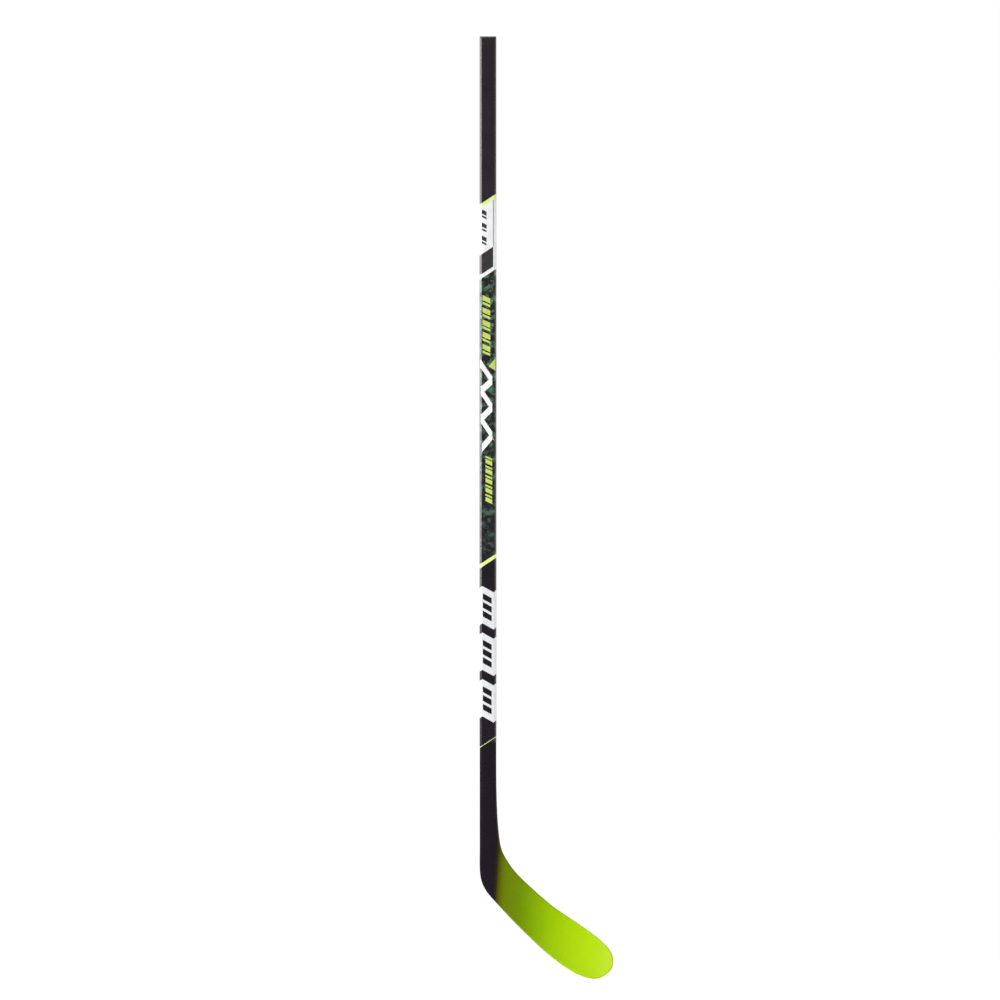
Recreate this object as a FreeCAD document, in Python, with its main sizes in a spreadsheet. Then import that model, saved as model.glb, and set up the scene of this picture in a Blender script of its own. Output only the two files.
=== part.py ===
import FreeCAD, Part
import math
import os

import Sketcher
from FreeCAD import Vector

# A left-handed composite ice hockey stick, drawn with its shaft upright.
# The origin is the centre of the butt end's flat face. The shaft runs down -Z and its wide faces look along
# -Y (forehand) and +Y (backhand). The blade points to +X and down, and its toe curves towards -Y.

PARTS_FOLDER = "parts"

DIMENSIONS = [
    # alias, value in mm or degrees, meaning
    ("stick_length", 1524.0, "butt end to the heel point, where the shaft's axis meets the sole"),
    ("fuse_height", 270.0, "height of the fuse joint above the heel point"),
    ("shaft_width", 29.5, "shaft, across its wide faces"),
    ("shaft_depth", 20.0, "shaft, between its wide faces"),
    ("shaft_corner", 5.0, "shaft, outer corner radius"),
    ("tube_wall", 1.8, "laminate wall of the shaft and of the top of the hosel"),
    ("bore_corner", 3.2, "shaft, inner corner radius"),
    ("grip_length", 275.0, "bare upper stretch that the top hand holds"),
    ("cap_thickness", 3.0, "end plug, cap"),
    ("cap_round", 1.2, "end plug, rounded rim of the cap"),
    ("stem_length", 42.0, "end plug, stem below the cap"),
    ("stem_clearance", 0.45, "end plug, stem to bore"),
    ("stem_wall", 1.8, "end plug, moulded wall"),
    ("stem_corner", 2.5, "end plug, corner radius of the stem"),
    ("stem_chamfer", 1.2, "end plug, lead-in at the stem's foot"),
    ("rib_clearance", 0.05, "end plug, crush rib to bore"),
    ("rib_width", 1.6, "end plug, width of a crush rib"),
    ("rib_pitch", 12.0, "end plug, between the two ribs of a wide side"),
    ("rib_length", 36.0, "end plug, length of a crush rib"),
    ("tenon_up", 60.0, "tenon above the fuse joint, inside the shaft"),
    ("tenon_down", 20.0, "tenon below the fuse joint, inside the hosel"),
    ("tenon_wall", 1.5, "laminate wall of the tenon"),
    ("glue_line", 0.2, "adhesive between tenon and bore"),
    ("skin_wall", 1.3, "laminate skin of the blade"),
    ("heel_thickness", 8.6, "blade at the heel"),
    ("toe_thickness", 5.4, "blade at the toe"),
    ("edge_round", 0.42, "edge radius of the blade, as a share of its thickness"),
    ("curve_depth", 57.0, "how far the toe stands forward of the shaft"),
    ("curve_start", 25.0, "straight stretch of blade past the heel"),
    ("open_angle", 7.0, "how far the blade's face leans back at the toe"),
    ("toe_solid", 18.0, "solid laminate at the toe, past the cores"),
    ("bridge_thickness", 1.5, "rib between the two foam cores"),
    ("bond_line", 0.06, "gap round each core"),
    ("film_thickness", 0.15, "printed film"),
    ("band_slope", 33.3, "slant of the films' ends across a wide face"),
    ("badge_top", 289.0, "upper badge film starts, on the shaft's axis"),
    ("camo_top", 422.5, "camouflage film starts"),
    ("camo_bottom", 928.2, "camouflage film ends and the lower badge film starts"),
    ("badge_bottom", 1250.0, "lower badge film ends"),
    ("pinstripe_width", 1.5, "pinstripe over the fuse joint, along the shaft"),
]

# Outline of the hosel and blade in the upright plane, in pairs from the fuse joint to the toe: a point of the heel
# and sole edge, then the point of the top edge across the blade from it. X is from the shaft's axis and Z from the
# heel point.
OUTLINE = [
    ((-14.75, 270.0), (14.75, 270.0)),
    ((-14.75, 250.0), (14.75, 250.0)),
    ((-14.75, 195.0), (15.0, 195.0)),
    ((-14.75, 145.0), (16.5, 145.0)),
    ((-14.75, 103.0), (19.6, 105.0)),
    ((-14.8, 72.0), (25.2, 77.5)),
    ((-14.7, 45.0), (35.0, 59.0)),
    ((-11.6, 23.7), (43.5, 46.5)),
    ((-4.3, 7.8), (51.3, 37.3)),
    ((8.3, -8.0), (62.3, 26.0)),
    ((27.0, -28.4), (77.0, 12.3)),
    ((47.2, -49.7), (95.0, -3.8)),
    ((68.6, -71.0), (116.8, -21.6)),
    ((91.0, -92.4), (140.5, -38.0)),
    ((117.3, -114.9), (166.0, -54.8)),
    ((145.8, -135.1), (192.5, -74.2)),
    ((170.8, -146.5), (209.5, -89.3)),
    ((190.0, -149.3), (218.6, -102.0)),
    ((204.6, -144.9), (222.0, -115.5)),
    ((214.5, -137.7), (221.1, -127.3)),
]
OUTLINE_COLUMNS = "ABCD"  # sole x, sole z, top x, top z

BORE_WIDTH = "Dims.shaft_width - 2 * Dims.tube_wall"
BORE_DEPTH = "Dims.shaft_depth - 2 * Dims.tube_wall"
FUSE_DEPTH = "Dims.stick_length - Dims.fuse_height"

doc = FreeCAD.newDocument("hockey_stick")


# ---------------------------------------------------------------- spreadsheets


def make_dimension_sheet():
    """The driving dimensions, one row each: the name, the value under its alias, and the meaning."""
    sheet = doc.addObject("Spreadsheet::Sheet", "Dims")
    for row, (alias, number, meaning) in enumerate(DIMENSIONS, 1):
        sheet.set(f"A{row}", alias)
        sheet.set(f"B{row}", str(number))
        sheet.set(f"C{row}", meaning)
        sheet.setAlias(f"B{row}", alias)
    doc.recompute()
    return sheet


def make_outline_sheet():
    """The outline's pairs, one row each."""
    sheet = doc.addObject("Spreadsheet::Sheet", "Outline")
    for row, (sole_point, top_point) in enumerate(OUTLINE, 1):
        for column, number in zip(OUTLINE_COLUMNS, sole_point + top_point):
            sheet.set(f"{column}{row}", str(number))
    doc.recompute()
    return sheet


dims = make_dimension_sheet()
outline = make_outline_sheet()


def dim(alias):
    return float(dims.get(alias))


def value_of(formula):
    """The present value of a formula of the sheet's cells."""
    return float(dims.evalExpression(formula))


# ---------------------------------------------------------------- PartDesign helpers


def new_body(label):
    body = doc.addObject("PartDesign::Body", label)
    body.Label = label
    return body


def sketch_on(body, name, role, offset=None):
    """A sketch on one of the body's own origin planes, moved along the plane's normal by a formula."""
    sketch = body.newObject("Sketcher::SketchObject", name)
    plane = next(f for f in body.Origin.OriginFeatures if f.Role == role)
    sketch.AttachmentSupport = (plane, [""])
    sketch.MapMode = "FlatFace"
    if offset:
        sketch.setExpression("AttachmentOffset.Base.z", offset)
    return sketch


def add_constraint(sketch, name, constraint, formula):
    index = sketch.addConstraint(constraint)
    sketch.renameConstraint(index, name)
    sketch.setExpression(f"Constraints.{name}", formula)


def add_rounded_rectangle(sketch, name, width, depth, corner):
    """Four arcs and four lines round the sketch's origin, sized by formulas."""
    half_x, half_y, radius = value_of(width) / 2, value_of(depth) / 2, value_of(corner)
    centre_x, centre_y = half_x - radius, half_y - radius
    centres = [(centre_x, centre_y), (-centre_x, centre_y), (-centre_x, -centre_y), (centre_x, -centre_y)]
    arcs = []
    for quarter, (x, y) in enumerate(centres):
        circle = Part.Circle(Vector(x, y, 0), Vector(0, 0, 1), radius)
        start = quarter * math.pi / 2
        arcs.append(sketch.addGeometry(Part.ArcOfCircle(circle, start, start + math.pi / 2)))
    lines = []
    for arc, following in zip(arcs, arcs[1:] + arcs[:1]):
        ends = sketch.getPoint(arc, 2), sketch.getPoint(following, 1)
        lines.append(sketch.addGeometry(Part.LineSegment(*ends)))
    for arc, line, following in zip(arcs, lines, arcs[1:] + arcs[:1]):
        sketch.addConstraint(Sketcher.Constraint("Tangent", arc, 2, line, 1))
        sketch.addConstraint(Sketcher.Constraint("Tangent", line, 2, following, 1))
    for arc in arcs[1:]:
        sketch.addConstraint(Sketcher.Constraint("Equal", arcs[0], arc))
    top_line, left_line, bottom_line, right_line = lines
    sketch.addConstraint(Sketcher.Constraint("Horizontal", top_line))
    sketch.addConstraint(Sketcher.Constraint("Vertical", left_line))
    sketch.addConstraint(Sketcher.Constraint("Symmetric", arcs[0], 3, arcs[2], 3, -1, 1))
    across = Sketcher.Constraint("DistanceX", left_line, 1, right_line, 1, 2 * half_x)
    through = Sketcher.Constraint("DistanceY", bottom_line, 1, top_line, 1, 2 * half_y)
    add_constraint(sketch, name + "_width", across, width)
    add_constraint(sketch, name + "_depth", through, depth)
    add_constraint(sketch, name + "_corner", Sketcher.Constraint("Radius", arcs[0], radius), corner)


def add_polygon(sketch, name, corners):
    """A closed polygon whose corners are pairs of formulas, measured from the sketch's origin."""
    points = [Vector(value_of(x), value_of(y), 0) for x, y in corners]
    lines = [
        sketch.addGeometry(Part.LineSegment(start, end))
        for start, end in zip(points, points[1:] + points[:1])
    ]
    for line, following in zip(lines, lines[1:] + lines[:1]):
        sketch.addConstraint(Sketcher.Constraint("Coincident", line, 2, following, 1))
    for number, (line, point, (x, y)) in enumerate(zip(lines, points, corners), 1):
        across = Sketcher.Constraint("DistanceX", -1, 1, line, 1, point.x)
        along = Sketcher.Constraint("DistanceY", -1, 1, line, 1, point.y)
        add_constraint(sketch, f"{name}_x{number}", across, x)
        add_constraint(sketch, f"{name}_y{number}", along, y)


def pad(body, sketch, name, length, down=False, both_ways=False):
    feature = body.newObject("PartDesign::Pad", name)
    feature.Profile = sketch
    feature.Reversed = down
    feature.Midplane = both_ways
    feature.Refine = False
    feature.setExpression("Length", length)
    body.Tip = feature
    doc.recompute()
    return feature


def edges_at(shape, height):
    """Names of the edges that lie in the level plane at that height."""
    names = []
    for number, edge in enumerate(shape.Edges, 1):
        box = edge.BoundBox
        if max(abs(box.ZMax - height), abs(box.ZMin - height)) < 1e-6:
            names.append(f"Edge{number}")
    if not names:
        raise RuntimeError(f"no edge at height {height}")
    return names


def dress(body, kind, name, base, height, property_name, formula):
    """A fillet or chamfer on the edges of the base feature at one height."""
    names = edges_at(base.Shape, height)
    feature = body.newObject(kind, name)
    feature.Base = (base, names)
    feature.setExpression(property_name, formula)
    body.Tip = feature
    doc.recompute()
    return feature


# ---------------------------------------------------------------- shaft and end plug


def tube_stretch(body, name, foot, length):
    """One stretch of the rounded rectangular tube, from a sketch at its foot."""
    section = sketch_on(body, name + "_section", "XY_Plane", foot)
    add_rounded_rectangle(section, "outer", "Dims.shaft_width", "Dims.shaft_depth", "Dims.shaft_corner")
    add_rounded_rectangle(section, "bore", BORE_WIDTH, BORE_DEPTH, "Dims.bore_corner")
    pad(body, section, name, length)


def make_shaft_tube():
    """The hollow shaft: the run that carries the films, then the bare grip that ends under the plug's cap."""
    body = new_body("shaft_tube")
    tube_stretch(body, "printed_run", f"-({FUSE_DEPTH})", f"{FUSE_DEPTH} - Dims.grip_length")
    tube_stretch(body, "grip_run", "-Dims.grip_length", "Dims.grip_length - Dims.cap_thickness")
    return body


def add_bar(sketch, name, width, depth, centre_x):
    """A rectangle of that width and depth, centred on the sketch's X axis at centre_x."""
    left, right = f"{centre_x} - ({width}) / 2", f"{centre_x} + ({width}) / 2"
    low, high = f"-({depth}) / 2", f"({depth}) / 2"
    add_polygon(sketch, name, [(left, low), (right, low), (right, high), (left, high)])


def make_end_plug():
    """The moulded plug in the butt end: a cap as wide as the shaft, a hollow stem and its crush ribs."""
    body = new_body("end_plug")
    cap_section = sketch_on(body, "cap_section", "XY_Plane")
    add_rounded_rectangle(cap_section, "cap", "Dims.shaft_width", "Dims.shaft_depth", "Dims.shaft_corner")
    pad(body, cap_section, "cap", "Dims.cap_thickness", down=True)

    stem_width = f"{BORE_WIDTH} - 2 * Dims.stem_clearance"
    stem_depth = f"{BORE_DEPTH} - 2 * Dims.stem_clearance"
    stem_section = sketch_on(body, "stem_section", "XY_Plane", "-Dims.cap_thickness")
    add_rounded_rectangle(stem_section, "stem", stem_width, stem_depth, "Dims.stem_corner")
    stem = pad(body, stem_section, "stem", "Dims.stem_length", down=True)
    foot = -dim("cap_thickness") - dim("stem_length")
    dress(body, "PartDesign::Chamfer", "lead_in", stem, foot, "Size", "Dims.stem_chamfer")

    across = f"{BORE_WIDTH} - 2 * Dims.rib_clearance"
    through = f"{BORE_DEPTH} - 2 * Dims.rib_clearance"
    ribs = [
        ("left_ribs", "Dims.rib_width", through, "-Dims.rib_pitch / 2"),
        ("right_ribs", "Dims.rib_width", through, "Dims.rib_pitch / 2"),
        ("side_ribs", across, "Dims.rib_width", "0"),
    ]
    for name, width, depth, centre_x in ribs:
        section = sketch_on(body, name + "_section", "XY_Plane", "-Dims.cap_thickness")
        add_bar(section, "rib", width, depth, centre_x)
        ribbed = pad(body, section, name, "Dims.rib_length", down=True)

    hollow_width = f"{stem_width} - 2 * Dims.stem_wall"
    hollow_depth = f"{stem_depth} - 2 * Dims.stem_wall"
    hollow_section = sketch_on(body, "hollow_section", "XY_Plane", "-Dims.cap_thickness - Dims.stem_length")
    add_rounded_rectangle(hollow_section, "hollow", hollow_width, hollow_depth, "Dims.stem_corner / 2")
    hollow = body.newObject("PartDesign::Pocket", "hollow")
    hollow.Profile = hollow_section
    hollow.Reversed = True
    hollow.setExpression("Length", "Dims.stem_length - Dims.stem_wall")
    body.Tip = hollow
    doc.recompute()
    removed = value_of(f"({hollow_width}) * ({hollow_depth}) * (Dims.stem_length - Dims.stem_wall)")
    if ribbed.Shape.Volume - hollow.Shape.Volume < 0.9 * removed:
        raise RuntimeError("the end plug's hollow wasn't cut")

    dress(body, "PartDesign::Fillet", "rim", hollow, 0.0, "Radius", "Dims.cap_round")
    return body


# ---------------------------------------------------------------- fuse joint


def make_sleeve(label, foot, length, outer, wall):
    """A straight sleeve from a foot upwards: outer is its width, depth and corner, and wall its thickness."""
    body = new_body(label)
    section = sketch_on(body, label + "_section", "XY_Plane", foot)
    width, depth, corner = outer
    add_rounded_rectangle(section, "outer", width, depth, corner)
    inner = [f"{width} - 2 * {wall}", f"{depth} - 2 * {wall}", f"{corner} - {wall}"]
    add_rounded_rectangle(section, "inner", *inner)
    pad(body, section, label + "_wall", length)
    return body


def make_fuse_joint():
    """The hollow tenon between shaft and hosel, and the adhesive that fills its gap in the shaft's bore."""
    glue = "Dims.glue_line"
    tenon_outer = (f"{BORE_WIDTH} - 2 * {glue}", f"{BORE_DEPTH} - 2 * {glue}", f"Dims.bore_corner - {glue}")
    tenon_foot = f"-({FUSE_DEPTH}) - Dims.tenon_down"
    tenon_length = "Dims.tenon_up + Dims.tenon_down"
    glue_outer = (BORE_WIDTH, BORE_DEPTH, "Dims.bore_corner")
    return [
        make_sleeve("fuse_tenon", tenon_foot, tenon_length, tenon_outer, "Dims.tenon_wall"),
        make_sleeve("fuse_adhesive", f"-({FUSE_DEPTH})", "Dims.tenon_up", glue_outer, glue),
    ]


# ---------------------------------------------------------------- hosel and blade

# The hosel and blade are lofted through sections of a spine that runs from the fuse joint to the toe, halfway
# between the outline's two edges. A place on it is a share: 0 at the fuse joint, 1 at the toe. They are drawn
# about the heel point, and each form's Placement then puts them at the foot of the shaft.

SECTIONS = 64  # sections of the outer form
CORE_SECTIONS = 30
CROWDING = 1.25  # above 1, sections stand closer together towards the toe
NUDGE = 0.004  # share of the spine over which its direction is measured
SPLIT_MARGIN = 1.5  # how far the splitting form reaches past the skins
SPLIT_OVERRUN = 6.0  # how far it runs past the toe


def outline_point(row, side):
    """A point of the outline: side 0 is the heel and sole edge, side 1 the top edge."""
    across, up = OUTLINE_COLUMNS[2 * side : 2 * side + 2]
    return Vector(float(outline.get(f"{across}{row}")), 0, float(outline.get(f"{up}{row}")))


def outline_curves():
    """Smooth curves through the two edges, with parameters in step, and the spine's length."""
    rows = range(1, len(OUTLINE) + 1)
    edges = [[outline_point(row, side) for row in rows] for side in (0, 1)]
    middles = [(low + high) / 2 for low, high in zip(*edges)]
    travelled = [0.0]
    for start, end in zip(middles, middles[1:]):
        travelled.append(travelled[-1] + (end - start).Length)
    length = travelled[-1]
    curves = []
    for points in edges:
        curve = Part.BSplineCurve()
        curve.interpolate(Points=points, Parameters=[distance / length for distance in travelled])
        curves.append(curve)
    return curves[0], curves[1], length


sole_curve, top_curve, spine_length = outline_curves()
tenon_share = dim("tenon_down") / spine_length
heel_share = dim("fuse_height") / spine_length
toe_solid_share = 1 - dim("toe_solid") / spine_length


def ease(share):
    """0 to 1 with no corner at either end."""
    share = min(1.0, max(0.0, share))
    return share * share * (3 - 2 * share)


def past_heel(share):
    return max(0.0, share - heel_share) * spine_length


def blade_length():
    return past_heel(1.0)


def thickness(share):
    """The shaft's depth down to the tenon's foot, easing to the heel's, then thinning evenly to the toe's."""
    if share < heel_share:
        down_hosel = (share - tenon_share) / (heel_share - tenon_share)
        return dim("shaft_depth") + (dim("heel_thickness") - dim("shaft_depth")) * ease(down_hosel)
    along_blade = past_heel(share) / blade_length()
    return dim("heel_thickness") + (dim("toe_thickness") - dim("heel_thickness")) * along_blade


def wall(share):
    """The shaft's wall down to the tenon's foot, easing to the blade's skin at the heel."""
    down_hosel = (share - tenon_share) / (heel_share - tenon_share)
    return dim("tube_wall") + (dim("skin_wall") - dim("tube_wall")) * ease(down_hosel)


def spine_point(share):
    """Straight past the heel, then in a steady curve towards the forehand."""
    point = (sole_curve.value(share) + top_curve.value(share)) / 2
    bent = max(0.0, past_heel(share) - dim("curve_start")) / (blade_length() - dim("curve_start"))
    return Vector(point.x, -dim("curve_depth") * bent**2, point.z)


def section_frame(share):
    """Direction across the blade to its top edge, outward normal of the forehand face, and width."""
    edge = top_curve.value(share) - sole_curve.value(share)
    lean = math.radians(dim("open_angle")) * ease(past_heel(share) / blade_length())
    across = Vector(edge).normalize() * math.cos(lean) + Vector(0, 1, 0) * math.sin(lean)
    along = spine_point(min(1.0, share + NUDGE)) - spine_point(max(0.0, share - NUDGE))
    return across, along.cross(across).normalize(), edge.Length


def rounded_wire(share, low, high, back, front, radius):
    """A rounded rectangle in the section plane: low to high across the blade, back to front through it."""
    centre = spine_point(share)
    across, normal, _ = section_frame(share)
    corners = [(high, front, 1, 1), (low, front, -1, 1), (low, back, -1, -1), (high, back, 1, -1)]
    diagonal = radius * (1 - math.sqrt(0.5))

    def at(p, q):
        return centre + across * p + normal * q

    rounded = []
    for number, (p, q, p_sign, q_sign) in enumerate(corners):
        on_edge = at(p, q - q_sign * radius)
        on_face = at(p - p_sign * radius, q)
        knee = at(p - p_sign * diagonal, q - q_sign * diagonal)
        rounded.append((on_edge, knee, on_face) if number % 2 == 0 else (on_face, knee, on_edge))
    edges = []
    for (start, knee, end), (following, _, _) in zip(rounded, rounded[1:] + rounded[:1]):
        edges.append(Part.Arc(start, knee, end).toShape())
        edges.append(Part.LineSegment(end, following).toShape())
    return Part.Wire(edges)


def loft(label, start, finish, section, count, overrun=0.0):
    """A solid through sections from one share to another, carried straight on past its end by the overrun."""
    shares = []
    for k in range(count):
        remaining = (1 - k / (count - 1)) ** CROWDING
        shares.append(finish - (finish - start) * remaining)
    wires = [section(share) for share in shares]
    if overrun:
        beyond = wires[-1].copy()
        beyond.translate((spine_point(finish) - spine_point(finish - NUDGE)).normalize() * overrun)
        wires.append(beyond)
    form = doc.addObject("Part::Feature", label)
    form.Label = label
    form.Shape = Part.makeLoft(wires, True, False)
    form.setExpression("Placement.Base.z", "-Dims.stick_length")
    return form


def outer_section(share):
    """The outside of the hosel and blade. The faces close in over the last half thickness before the toe."""
    _, _, width = section_frame(share)
    full = thickness(share)
    to_tip = min(1.0, (1 - share) * spine_length / (full / 2) + 0.35)
    half = full / 2 * math.sqrt(1 - (1 - to_tip) ** 2)
    radius = min(dim("shaft_corner"), 2 * half * dim("edge_round"))
    return rounded_wire(share, -width / 2, width / 2, -half, half, radius)


def inner_section(share, gap=0.0):
    """The space inside the skins, or with a gap, what fills it."""
    _, _, width = section_frame(share)
    inset = wall(share) + gap
    half = thickness(share) / 2 - inset
    radius = min(dim("bore_corner"), 2 * half * dim("edge_round"))
    return rounded_wire(share, inset - width / 2, width / 2 - inset, -half, half, radius)


def forehand_section(share):
    """The forehand side of the mid-plane, a little wider and deeper than the blade."""
    _, _, width = section_frame(share)
    reach = width / 2 + SPLIT_MARGIN
    return rounded_wire(share, -reach, reach, 0.0, thickness(share) / 2 + SPLIT_MARGIN, SPLIT_MARGIN / 3)


def bridge_section(share):
    rib = dim("bridge_thickness") / 2
    half = thickness(share) / 2 - wall(share) - dim("bond_line")
    return rounded_wire(share, -rib, rib, -half, half, rib / 3)


def core_section(share, side):
    """Half of the space inside the skins, above (side 1) or below (side -1) the bridge."""
    _, _, width = section_frame(share)
    gap = dim("bond_line")
    inset = wall(share) + gap
    near, far = dim("bridge_thickness") / 2 + gap, width / 2 - inset
    low, high = (near, far) if side > 0 else (-far, -near)
    half = thickness(share) / 2 - inset
    return rounded_wire(share, low, high, -half, half, 2 * half * dim("edge_round"))


def boolean(kind, label, base, tool):
    item = doc.addObject(kind, label)
    item.Label = label
    item.Base = base
    item.Tool = tool
    doc.recompute()
    return item


def make_skins():
    """The forehand and backhand laminates, from the fuse joint to the toe, parted along the edge's middle."""
    outer = loft("outer_form", 0.0, 1.0, outer_section, SECTIONS)
    inner = loft("inner_form", 0.0, toe_solid_share, inner_section, SECTIONS)
    forehand = loft("forehand_form", 0.0, 1.0, forehand_section, SECTIONS, SPLIT_OVERRUN)
    shell = boolean("Part::Cut", "shell_form", outer, inner)
    return [
        boolean("Part::Common", "blade_front_skin", shell, forehand),
        boolean("Part::Cut", "blade_back_skin", shell, forehand),
    ]


def make_cores():
    """The foam in the hosel, the two foam cores of the blade, and the bridge between them."""
    start = heel_share * 0.93
    finish = toe_solid_share - 1.0 / spine_length
    hosel_end = start - 0.5 / spine_length
    gap = dim("bond_line")
    return [
        loft("hosel_core", tenon_share, hosel_end, lambda share: inner_section(share, gap), CORE_SECTIONS),
        loft("blade_core_upper", start, finish, lambda share: core_section(share, 1), CORE_SECTIONS),
        loft("blade_core_lower", start, finish, lambda share: core_section(share, -1), CORE_SECTIONS),
        loft("core_bridge", start, finish, bridge_section, CORE_SECTIONS),
    ]


# ---------------------------------------------------------------- printed films


def make_film(label, upper, lower):
    """A film round the shaft between two slanted ends, whose depths are taken on the shaft's axis."""
    reach = "Dims.shaft_width"  # past the shaft's edges, sideways and along it
    film = "Dims.film_thickness"
    outer = (f"Dims.shaft_width + 2 * {film}", f"Dims.shaft_depth + 2 * {film}", f"Dims.shaft_corner + {film}")
    foot = f"-({lower}) - {reach}"
    sleeve = make_sleeve(label + "_sleeve", foot, f"({lower}) - ({upper}) + 2 * {reach}", outer, film)

    slab = new_body(label + "_slab")
    side_view = sketch_on(slab, label + "_ends", "XZ_Plane")
    climb = f"{reach} * tan(Dims.band_slope * 1 deg)"
    corners = [
        (f"-{reach}", f"-({upper}) - {climb}"),
        (f"-{reach}", f"-({lower}) - {climb}"),
        (f"{reach}", f"-({lower}) + {climb}"),
        (f"{reach}", f"-({upper}) + {climb}"),
    ]
    add_polygon(side_view, "end", corners)
    pad(slab, side_view, label + "_slab_pad", f"2 * {reach}", both_ways=True)
    return boolean("Part::Common", label, sleeve, slab)


def make_films():
    half_stripe = "Dims.pinstripe_width / 2"
    return [
        make_film("upper_badge_film", "Dims.badge_top", "Dims.camo_top"),
        make_film("camouflage_film", "Dims.camo_top", "Dims.camo_bottom"),
        make_film("lower_badge_film", "Dims.camo_bottom", "Dims.badge_bottom"),
        make_film("pinstripe_film", f"{FUSE_DEPTH} - {half_stripe}", f"{FUSE_DEPTH} + {half_stripe}"),
    ]


# ---------------------------------------------------------------- export


def export(parts):
    """Checks every object of the document and every sub-part, then writes one STEP file for each sub-part."""
    doc.recompute()
    failed = [item.Name for item in doc.Objects if {"Invalid", "Error"} & set(item.State)]
    if failed:
        raise RuntimeError(f"failed objects: {failed}")
    for part in parts:
        shape = part.Shape
        if shape.isNull() or not shape.isValid() or len(shape.Solids) != 1:
            raise RuntimeError(f"{part.Label} isn't one valid solid")
    os.makedirs(PARTS_FOLDER, exist_ok=True)
    for part in parts:
        print(f"{part.Label:20s} {part.Shape.Volume / 1000:9.3f} cm3")
        part.Shape.exportStep(os.path.join(PARTS_FOLDER, part.Label + ".step"))


def main():
    parts = [make_shaft_tube(), make_end_plug()]
    parts += make_fuse_joint()
    parts += make_skins()
    parts += make_cores()
    parts += make_films()
    export(parts)


main()
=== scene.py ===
"""Ice hockey stick: its visible pieces, their finishes and a plain studio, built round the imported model.

Shapes are worked out in millimetres and become metres when each mesh is made. The origin is the middle of
the butt end, the shaft hangs down -Z, the forehand face looks to -Y and the blade reaches out to +X.
"""
import math

import bmesh
import bpy
import numpy as np
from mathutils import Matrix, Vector
from mathutils.geometry import delaunay_2d_cdt


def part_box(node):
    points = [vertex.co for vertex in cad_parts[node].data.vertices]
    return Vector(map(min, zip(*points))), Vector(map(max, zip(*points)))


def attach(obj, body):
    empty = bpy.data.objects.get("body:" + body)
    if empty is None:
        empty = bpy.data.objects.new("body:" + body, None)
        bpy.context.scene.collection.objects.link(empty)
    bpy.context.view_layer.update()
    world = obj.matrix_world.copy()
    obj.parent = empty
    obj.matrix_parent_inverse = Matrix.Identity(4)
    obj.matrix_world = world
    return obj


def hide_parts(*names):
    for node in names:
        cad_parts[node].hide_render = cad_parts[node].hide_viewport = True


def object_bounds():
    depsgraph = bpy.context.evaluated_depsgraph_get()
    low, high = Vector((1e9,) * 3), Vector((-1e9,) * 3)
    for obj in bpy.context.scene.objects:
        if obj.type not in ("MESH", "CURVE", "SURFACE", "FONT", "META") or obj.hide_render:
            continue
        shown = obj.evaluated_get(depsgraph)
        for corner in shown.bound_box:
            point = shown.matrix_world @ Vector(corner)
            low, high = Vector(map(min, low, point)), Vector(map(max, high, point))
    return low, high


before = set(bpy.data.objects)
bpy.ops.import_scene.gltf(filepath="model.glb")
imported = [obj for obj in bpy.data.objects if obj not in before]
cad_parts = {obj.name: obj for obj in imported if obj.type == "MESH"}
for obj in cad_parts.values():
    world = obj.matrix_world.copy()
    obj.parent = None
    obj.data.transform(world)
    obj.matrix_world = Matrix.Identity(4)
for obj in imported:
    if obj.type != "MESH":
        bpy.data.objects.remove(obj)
cad_low, cad_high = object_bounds()

MM = 0.001


def node_box(name):
    """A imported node's lowest and highest corner, in millimetres."""
    low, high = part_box(name)
    return low / MM, high / MM


# ---------------------------------------------------------------- sizes

shaft_low, shaft_high = node_box("shaft_tube")
HALF_WIDTH = shaft_high.x
HALF_DEPTH = shaft_high.y
CAP_Z = shaft_high.z
FUSE_Z = shaft_low.z
PLUG_Z = node_box("end_plug")[0].z

# The shaft's corners, wall and rim, and how finely its surface is divided.
CORNER = 5.0
WALL = 1.8
BORE_CORNER = 3.2
RIM_CHAMFER = 0.35
CORNER_STEPS = 10
FLAT_STEPS = 4
LOOP_SPACING = 24.0
SHARP_ANGLE = math.radians(32)
MERGE_DISTANCE = 0.0004

# A film stands proud of the shaft, and a print stands proud of its film.
# A film's ends slant across the wide faces.
FILM = 0.11
PRINT = 0.03
BAND_SLOPE = 0.657

# Heights of the films' cuts at the middle of the wide faces, from the butt end down.
BADGE_TOP = -289.0
LIME_BOTTOM = -295.9
CHARCOAL_TOP = -379.5
CHARCOAL_BOTTOM = -414.8
CAMO_TOP = -422.5
CAMO_BOTTOM = -928.2
LOWER_LIME_BOTTOM = -935.4
BADGE_BOTTOM = -1250.0
PINSTRIPE = (-1252.7, -1253.8)

# The hosel and the blade: heights, walls, thicknesses, and the reach of the blade's curve.
FUSE_HEIGHT = 270.0
HEEL_Z = FUSE_Z - FUSE_HEIGHT
TENON_DOWN = 20.0
SKIN_WALL = 1.3
HEEL_THICKNESS = 8.6
TOE_THICKNESS = 5.4
EDGE_ROUND = 0.42
CURVE_DEPTH = 57.0
CURVE_START = 25.0
OPEN_ANGLE = math.radians(7)
TOE_SOLID = 18.0

# The toe's end is crowned, more towards the top edge. The crown fades out over a length of blade.
TOE_BULGE = 1.32
TOE_BULGE_LENGTH = 8.0
TOE_BULGE_LEAN = 0.156
TOE_END_LENGTH = 1.15
TOE_END_THICKNESS = 0.12
EDGE_INSET = 0.09
PARTING_GROOVE = 0.14

# The blade's colour fades along X, from the shaft's axis to the toe, and leans to the toe above a height.
# The fade is partly print and partly painted light.
# Its wear grows from one height down to another.
FADE_REACH = 222.0
FADE_LEAN = 0.066
LEAN_START = 1525.0
WEAR_LOW = -1660.0
WEAR_HIGH = -1520.0
TOW = 2.2

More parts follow.
